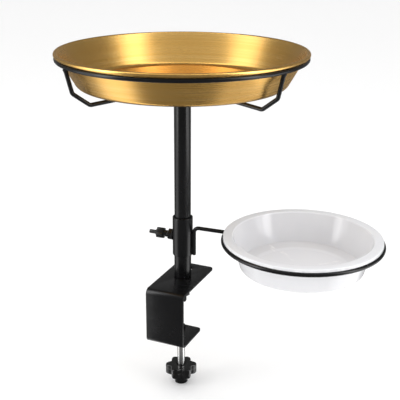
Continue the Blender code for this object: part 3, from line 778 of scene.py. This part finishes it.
def makeClampSheet():
    low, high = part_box("clamp_bracket")
    sheet, bend = clamp["sheet"] * mm, clamp["bend"] * mm
    upperReach, width = high[1], high[0]
    front, top, bottom = low[1], high[2], low[2]
    screw = joints["screw_turn"]["pos_m"]
    quarter = bend * math.pi / 2
    flatTop = upperReach - (front + bend)
    flatFront = (top - bend) - (bottom + bend)
    lowerReach = screw[1] + clamp["pastScrew"] * mm
    flatLow = lowerReach - (front + bend)
    marks = [0, flatTop, flatTop + quarter, flatTop + quarter + flatFront, flatTop + 2 * quarter + flatFront]
    length = marks[4] + flatLow

    def onSheet(along, across, depth):
        if along <= marks[1]:
            return (across, upperReach - along, top - depth)
        if along <= marks[2]:
            angle = (along - marks[1]) / bend
            reach = bend - depth
            return (across, front + bend - reach * math.sin(angle), top - bend + reach * math.cos(angle))
        if along <= marks[3]:
            return (across, front + depth, top - bend - (along - marks[2]))
        if along <= marks[4]:
            angle = (along - marks[3]) / bend
            reach = bend - depth
            return (across, front + bend - reach * math.cos(angle), bottom + bend - reach * math.sin(angle))
        return (across, front + bend + along - marks[4], bottom + depth)

    def holeEdge(along, radius, count=40):
        turns = [math.tau * step / count for step in range(count)]
        return [(along + radius * math.cos(a), radius * math.sin(a)) for a in turns]

    corner = clamp["corner"] * mm
    square = [(length / 2, -width), (length, -width), (length, width), (0, width), (0, -width), (length / 2, -width)]
    outline = [tuple(point) for point in rounded(square, corner, steps=8)][:-1]
    stud = upperReach
    spare = upperReach - clamp["spareHoleY"] * mm
    screwAt = length - (lowerReach - screw[1])
    holes = [(stud, clamp["studHole"] * mm), (spare, clamp["spareHole"] * mm), (screwAt, clamp["screwHole"] * mm)]
    points, edges = [], []
    for loop in [outline] + [holeEdge(*hole) for hole in holes]:
        start = len(points)
        points += loop
        edges += [(start + i, start + (i + 1) % len(loop)) for i in range(len(loop))]
    for first, last in ((marks[1], marks[2]), (marks[3], marks[4])):
        for step in range(clamp["bendSteps"] + 1):
            along = first + (last - first) * step / clamp["bendSteps"]
            points += [(along, -width), (along, width)]
            edges.append((len(points) - 2, len(points) - 1))
    flat = delaunay_2d_cdt([Vector(point) for point in points], edges, [], 0, 1e-7)
    spots, faces = flat[0], flat[2]

    def isSheet(face):
        middle = sum((spots[i] for i in face), Vector((0, 0))) / len(face)
        if any((middle - Vector((along, 0))).length < radius * 0.998 for along, radius in holes):
            return False
        near = (min(middle.x, length - middle.x), width - abs(middle.y))
        if near[0] < corner and near[1] < corner:
            return math.hypot(corner - near[0], corner - near[1]) < corner
        return True

    kept = [face for face in faces if isSheet(face)]
    shape = bmesh.new()
    layers = [[shape.verts.new(onSheet(spot.x, spot.y, depth)) for spot in spots] for depth in (0.0, sheet)]
    border = {}
    for face in kept:
        shape.faces.new([layers[0][i] for i in face])
        shape.faces.new([layers[1][i] for i in reversed(face)])
        for pair in zip(face, list(face[1:]) + [face[0]]):
            key = tuple(sorted(pair))
            border[key] = border.get(key, 0) + 1
    for (first, last), uses in border.items():
        if uses == 1:
            shape.faces.new([layers[0][first], layers[0][last], layers[1][last], layers[1][first]])
    loose = [vert for vert in shape.verts if not vert.link_faces]
    bmesh.ops.delete(shape, geom=loose, context="VERTS")
    made = asObject("clampSheet", shape)
    soften = made.modifiers.new("soften", "BEVEL")
    soften.width = clamp["edge"] * mm
    soften.segments = 3
    soften.limit_method = "ANGLE"
    soften.angle_limit = math.radians(50)
    fitPiece(settled(made), coat, "clamp", "black_powder_coat", "clamp_bracket", sharp=28)


def makeClampNut():
    low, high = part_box("clamp_nut")
    height = high[2] - low[2]
    nut = asObject("clampNut", hexNut(high[1] - low[1], height, 5.2 * mm), at=centreOf("clamp_nut"))
    fitPiece(nut, coat, "clamp", "black_powder_coat", "clamp_nut", sharp=25)
    foot = centreOf("clamp_nut") + Vector((0, 0, height / 2))
    seam = lineObject("nutSeam", [ringAround(foot, (0, 0, 1), 8.0 * mm, 30)])
    welds = grown(seam, weldSeam, Bead_Radius=0.9 * mm, Spacing=1.1 * mm, Seed=11, Finish=coat)
    fitPiece(welds, coat, "clamp", "black_powder_coat", sharp=60)


makeClampSheet()
makeClampNut()
print("clamp made")


# Clamp screw, its pad and its star knob

knob = {"lobes": 6, "lobeDepth": 5.6, "edge": 1.6, "bossRadius": 9.0, "bore": 5.3, "boreDepth": 20.0,
        "thickness": 14.0, "phase": math.radians(25)}


def knobOutline(radius, angle):
    wave = (1 + math.cos(knob["lobes"] * (angle - knob["phase"]))) / 2
    share = min(max((radius - 9.5 * mm) / (8.0 * mm), 0.0), 1.0)
    return radius - knob["lobeDepth"] * mm * (1 - wave ** 0.8) * share


def makeClampScrew():
    threadedRod("clampScrew", "clamp_screw", 1.5 * mm, 0.12 * mm, 40, zinc, "screw", "zinc_steel")
    low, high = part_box("star_knob")
    radius = high[0]
    top, foot = high[2], low[2]
    under = top - knob["thickness"] * mm
    boss, bore, edge = knob["bossRadius"] * mm, knob["bore"] * mm, knob["edge"] * mm
    deep = top - knob["boreDepth"] * mm
    outline = [(0, deep), (bore, deep), (bore, top - 1.2 * mm), (bore + 1.6 * mm, top - 1.2 * mm),
               (bore + 1.6 * mm, top), (14.0 * mm, top), (radius, top), (radius, (top + under) / 2 + 0.25 * mm),
               (radius - 0.12 * mm, (top + under) / 2), (radius, (top + under) / 2 - 0.25 * mm),
               (radius, under), (13.0 * mm, under), (boss, under), (boss, foot), (6.5 * mm, foot),
               (5.9 * mm, foot + 0.6 * mm), (0, foot + 0.6 * mm)]
    radii = [0, 0, 0.2 * mm, 0.2 * mm, 0.5 * mm, 0, edge, 0, 0, 0, edge, 0, 0.9 * mm, 1.3 * mm, 0.3 * mm, 0.3 * mm, 0]
    profile = rounded(outline, radii, steps=5)
    made = asObject("starKnob", turned(profile, 180, lobes=knobOutline), at=(0, centreOf("star_knob").y, 0))
    fitPiece(made, plastic, "screw", "black_plastic", "star_knob", sharp=35)
    low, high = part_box("pressure_pad")
    outline = [(0, high[2]), (high[0], high[2]), (high[0], low[2]), (0, low[2])]
    profile = rounded(outline, [0, 0.9 * mm, 0.4 * mm, 0], steps=4)
    made = asObject("pressurePad", turned(profile, 64), at=(0, centreOf("pressure_pad").y, 0))
    fitPiece(made, coat, "pad", "black_powder_coat", "pressure_pad")


makeClampScrew()
print("clamp screw made")


# Collar with its nut, side arm and dish ring

thumbAxis = Vector(joints["thumb_turn"]["axis"]).normalized()
thumbHeight = joints["thumb_turn"]["pos_m"][2]
armAxis = Vector((-thumbAxis.x, -thumbAxis.y, 0)).normalized()
collar = {"radius": 13.0, "wall": 1.7, "edge": 0.8, "armBend": 6.5, "armGap": 0.3, "nutFlats": 13.0, "nutHeight": 6.0}


def makeCollar():
    low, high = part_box("collar_sleeve")
    radius = collar["radius"] * mm
    bore, edge = radius - collar["wall"] * mm, collar["edge"] * mm
    middle = (low[2] + high[2]) / 2
    outline = [(radius, middle), (radius, high[2]), (bore, high[2]), (bore, low[2]), (radius, low[2]),
               (radius, middle - 1e-5)]
    profile = rounded(outline, [0, edge, edge * 0.4, edge * 0.4, edge, 0], steps=4)
    made = asObject("collarSleeve", turned(profile, 96, closed=True))
    fitPiece(made, coat, "collar", "black_powder_coat", "collar_sleeve")
    height = collar["nutHeight"] * mm
    nutAt = thumbAxis * (radius + 0.3 * mm + height / 2) + Vector((0, 0, thumbHeight))
    nut = asObject("collarNut", hexNut(collar["nutFlats"] * mm, height, 3.2 * mm), at=nutAt, outwards=thumbAxis)
    fitPiece(nut, coat, "collar", "black_powder_coat", "collar_nut", sharp=25)
    fitPiece(wireRing("dishRing", "dish_ring"), coat, "collar", "black_powder_coat", "dish_ring")
    ringLow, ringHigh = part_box("dish_ring")
    legAt = radius + collar["armGap"] * mm + wireHalf
    ringNear = centreOf("dish_ring").xy.length - (ringHigh[0] - ringLow[0]) / 2
    endAt = ringNear - collar["armGap"] * mm
    foot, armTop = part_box("side_arm")[0][2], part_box("side_arm")[1][2]
    armZ = armTop - wireHalf
    route = [armAxis * legAt + Vector((0, 0, foot)), armAxis * legAt + Vector((0, 0, armZ)),
             armAxis * endAt + Vector((0, 0, armZ))]
    arm = bentArm("sideArm", route, collar["armBend"] * mm, 1.0, 1.0)
    fitPiece(arm, coat, "collar", "black_powder_coat", "side_arm")
    side = Vector((-armAxis.y, armAxis.x, 0))
    touch = armAxis * (radius + 0.5 * mm)
    seams = []
    for way in (-1, 1):
        at = touch + side * way * 1.9 * mm
        seams.append([at + Vector((0, 0, foot + 3.0 * mm)), at + Vector((0, 0, foot + 12.0 * mm))])
        seams.append([at + Vector((0, 0, armZ - 18.0 * mm)), at + Vector((0, 0, armZ - 8.0 * mm))])
    seams.append(ringAround(route[-1], armAxis, 2.3 * mm))
    seams.append(ringAround(thumbAxis * (radius + 0.2 * mm) + Vector((0, 0, thumbHeight)), thumbAxis, 6.2 * mm, 26))
    welds = grown(lineObject("collarWelds", seams), weldSeam, Bead_Radius=0.95 * mm, Spacing=0.95 * mm, Seed=5,
                  Finish=coat)
    fitPiece(welds, coat, "collar", "black_powder_coat", sharp=60)


makeCollar()
print("collar made")


# Thumb screw

thumb = {"nearFace": 25.8, "grip": 10.0, "radius": 7.2, "lobes": 8, "lobeDepth": 1.4, "neckRadius": 4.3,
         "neck": 4.5, "tailRadius": 2.6, "tail": 10.5, "bore": 3.3, "boreDepth": 8.0}


def gripOutline(radius, angle):
    wave = (1 + math.cos(thumb["lobes"] * angle)) / 2
    share = min(max((radius - 4.8 * mm) / (1.6 * mm), 0.0), 1.0)
    return radius - thumb["lobeDepth"] * mm * (1 - wave ** 0.7) * share


def makeThumbScrew():
    grip, radius = thumb["grip"] * mm, thumb["radius"] * mm
    neck, neckRadius = thumb["neck"] * mm, thumb["neckRadius"] * mm
    tail, tailRadius = (thumb["grip"] + thumb["tail"]) * mm, thumb["tailRadius"] * mm
    bore, deep = thumb["bore"] * mm, thumb["boreDepth"] * mm
    outline = [(0, deep), (bore, deep), (bore, -neck), (neckRadius, -neck), (neckRadius, 0), (radius, 0),
               (radius, grip), (tailRadius + 1.0 * mm, grip), (tailRadius, grip + 1.0 * mm), (tailRadius, tail),
               (0, tail)]
    radii = [0, 0, 0.3 * mm, 0.4 * mm, 0.4 * mm, 0.8 * mm, 0.9 * mm, 0.3 * mm, 0.8 * mm, 0.6 * mm, 0]
    profile = rounded(outline, radii, steps=4)
    at = thumbAxis * thumb["nearFace"] * mm + Vector((0, 0, thumbHeight))
    made = asObject("thumbGrip", turned(profile, 128, lobes=gripOutline), at=at, outwards=thumbAxis)
    fitPiece(made, plastic, "thumb", "black_plastic", "thumb_grip", sharp=35)
    start, end = 11.3 * mm, (thumb["nearFace"] + thumb["boreDepth"] - 0.3) * mm
    threadedRod("thumbScrew", "thumb_screw", 1.0 * mm, 0.5 * mm, 28, zinc, "thumb", "zinc_steel",
                outwards=thumbAxis, length=end - start,
                centre=thumbAxis * (start + end) / 2 + Vector((0, 0, thumbHeight)))


makeThumbScrew()
print("thumb screw made")


# Dish

dish = {"wall": 2.0, "lipWidth": 11.5, "floorRadius": 56.5, "chamferWidth": 18.0, "chamferHeight": 3.5,
        "lipFall": 0.5, "turns": 180}


def makeDish():
    low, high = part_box("feeder_dish")
    centre = centreOf("dish_ring")
    ringLow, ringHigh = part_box("dish_ring")
    wall = dish["wall"] * mm
    crest = high[2]
    foot = ringHigh[2] + 0.3 * mm
    floor = low[2] + wall
    outer = (ringHigh[0] - ringLow[0]) / 2 - wireHalf
    inner = outer - dish["lipWidth"] * mm
    floorRadius = dish["floorRadius"] * mm
    step = floorRadius + dish["chamferWidth"] * mm
    stepHeight = dish["chamferHeight"] * mm
    outline = [(0, floor + 0.3 * mm), (1.3 * mm, floor + 0.3 * mm), (1.8 * mm, floor), (floorRadius, floor),
               (step, floor + stepHeight), (inner, crest), (outer, crest - dish["lipFall"] * mm), (outer, foot)]
    radii = [0, 0.2 * mm, 0.3 * mm, 0.8 * mm, 1.2 * mm, 1.6 * mm, 1.2 * mm, 0]
    profile = walled([tuple(point) for point in rounded(outline, radii, steps=7)], wall)
    made = asObject("feederDish", turned(profile, dish["turns"]), at=(centre.x, centre.y, 0))
    fitPiece(made, milky, "dish", "white_plastic", "feeder_dish", sharp=40)


makeDish()
print("dish made")


# Studio

studio = {"floorSize": 16.0, "floorGap": 0.5, "fill": 1.05, "reflected": 0.22, "behindCamera": 0.16,
          "panels": [(-84.0, 1.7, 0.92, 0.985), (64.0, 2.2, 0.94, 0.985)],
          # painted light: floorReflected and floorPanels are the dark tone and the glowing bands that the floor shows
          # only in reflections
          "floorColour": 1.0, "floorReflected": 0.15,
          "floorPanels": [(-84.0, 1.25, 0.88, 0.99), (80.0, 1.9, 0.88, 0.99)]}
view = {"distance": 982.3, "height": 459.9, "azimuth": 0.4373, "turn": 0.0225, "tilt": 0.343, "roll": 0.0052,
        "lens": 73.75}


def panelGlow(tree, place, panels, start):
    # tall bright panels at azimuths from the camera's side, seen only in the gloss of the pieces
    flat = add(tree, "ShaderNodeVectorMath", {0: place, 1: (1.0, 1.0, 0.0)}, operation="MULTIPLY").outputs[0]
    level = add(tree, "ShaderNodeVectorMath", {0: flat}, operation="NORMALIZE").outputs[0]
    total = start
    for azimuth, strength, outer, inner in panels:
        angle = view["azimuth"] + math.radians(azimuth)
        aim = (math.sin(angle), -math.cos(angle), 0.0)
        near = add(tree, "ShaderNodeVectorMath", {0: level, 1: aim}, operation="DOT_PRODUCT").outputs["Value"]
        total = maths(tree, "ADD", total, fitted(tree, near, outer, inner, 0.0, strength))
    return total


def makeFloor():
    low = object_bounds()[0]
    height = low.z - studio["floorGap"] * mm
    size = studio["floorSize"] / 2
    shape = bmesh.new()
    bmesh.ops.create_grid(shape, x_segments=8, y_segments=8, size=size)
    floor = asObject("paleFloor", shape, at=(0, 0, height))
    material, tree, shader = startFinish("paleFloor", Roughness=0.6)
    # painted light: seen in the gloss of the pieces the floor is painted dark, with bands that glow though it is no
    # lamp; to the camera and to diffuse light it stays evenly pale
    reflected = add(tree, "ShaderNodeLightPath").outputs["Is Glossy Ray"]
    pale, dim = studio["floorColour"], studio["floorReflected"]
    drive(tree, shader, "Base Color", blended(tree, reflected, (pale, pale, pale, 1), (dim, dim, dim, 1)))
    place = add(tree, "ShaderNodeTexCoord").outputs["Object"]
    glow = maths(tree, "MULTIPLY", panelGlow(tree, place, studio["floorPanels"], 0.0), reflected)
    drive(tree, shader, "Emission Color", add(tree, "ShaderNodeCombineColor", {0: glow, 1: glow, 2: glow}).outputs[0])
    shader.inputs["Emission Strength"].default_value = 1.0
    floor.data.materials.append(material)


def softbox(name, azimuth, distance, height, size, power, aim=(0, 0, 0.1)):
    # azimuth is from the camera's side, positive to its right
    lamp = bpy.data.lights.new(name, "AREA")
    lamp.shape = "RECTANGLE"
    lamp.size, lamp.size_y = size
    lamp.energy = power
    made = bpy.data.objects.new(name, lamp)
    angle = view["azimuth"] + azimuth
    made.location = (distance * math.sin(angle), -distance * math.cos(angle), height)
    made.rotation_euler = (Vector(aim) - made.location).to_track_quat("-Z", "Y").to_euler()
    bpy.context.scene.collection.objects.link(made)


def makeWorld():
    world = bpy.data.worlds.new("studio")
    bpy.context.scene.world = world
    world.use_nodes = True
    tree = world.node_tree
    back = tree.nodes["Background"]
    direction = add(tree, "ShaderNodeTexCoord").outputs["Generated"]
    towards = (math.sin(view["azimuth"]), -math.cos(view["azimuth"]), 0.0)
    facing = add(tree, "ShaderNodeVectorMath", {0: direction, 1: towards}, operation="DOT_PRODUCT").outputs["Value"]
    shade = fitted(tree, facing, 0.5, 0.95, studio["reflected"], studio["behindCamera"])
    shade = panelGlow(tree, direction, studio["panels"], shade)
    reflected = add(tree, "ShaderNodeLightPath").outputs["Is Glossy Ray"]
    inputs = {0: reflected, 2: studio["fill"], 3: shade}
    strength = add(tree, "ShaderNodeMix", inputs, data_type="FLOAT").outputs[0]
    tree.links.new(strength, back.inputs["Strength"])
    back.inputs["Color"].default_value = (1.0, 1.0, 1.0, 1.0)


def makeCamera():
    azimuth, turn, tilt = view["azimuth"], view["turn"], view["tilt"]
    spin = Matrix.Rotation(azimuth, 3, "Z")
    ahead = spin @ Vector((math.sin(turn) * math.cos(tilt), math.cos(turn) * math.cos(tilt), -math.sin(tilt)))
    level = spin @ Vector((math.cos(turn), -math.sin(turn), 0))
    up = level.cross(ahead)
    right = level * math.cos(view["roll"]) + up * math.sin(view["roll"])
    up = right.cross(ahead)
    lens = bpy.data.cameras.new("camera")
    lens.lens = view["lens"]
    lens.sensor_width = 36.0
    lens.clip_start, lens.clip_end = 0.01, 50.0
    camera = bpy.data.objects.new("camera", lens)
    place = spin @ Vector((0, -view["distance"] * mm, view["height"] * mm))
    facing = Matrix((right, up, -ahead)).transposed().to_4x4()
    camera.matrix_world = Matrix.Translation(place) @ facing
    bpy.context.scene.collection.objects.link(camera)
    bpy.context.scene.camera = camera


makeFloor()
softbox("leftBox", math.radians(-68), 1.5, 0.5, (0.45, 1.7), 8)
softbox("rightBox", math.radians(60), 1.5, 0.5, (0.35, 1.7), 6)
softbox("topBox", math.radians(-20), 0.5, 1.9, (1.8, 1.8), 3)
makeWorld()
makeCamera()
bpy.context.scene.view_settings.view_transform = "Standard"
print("studio made")
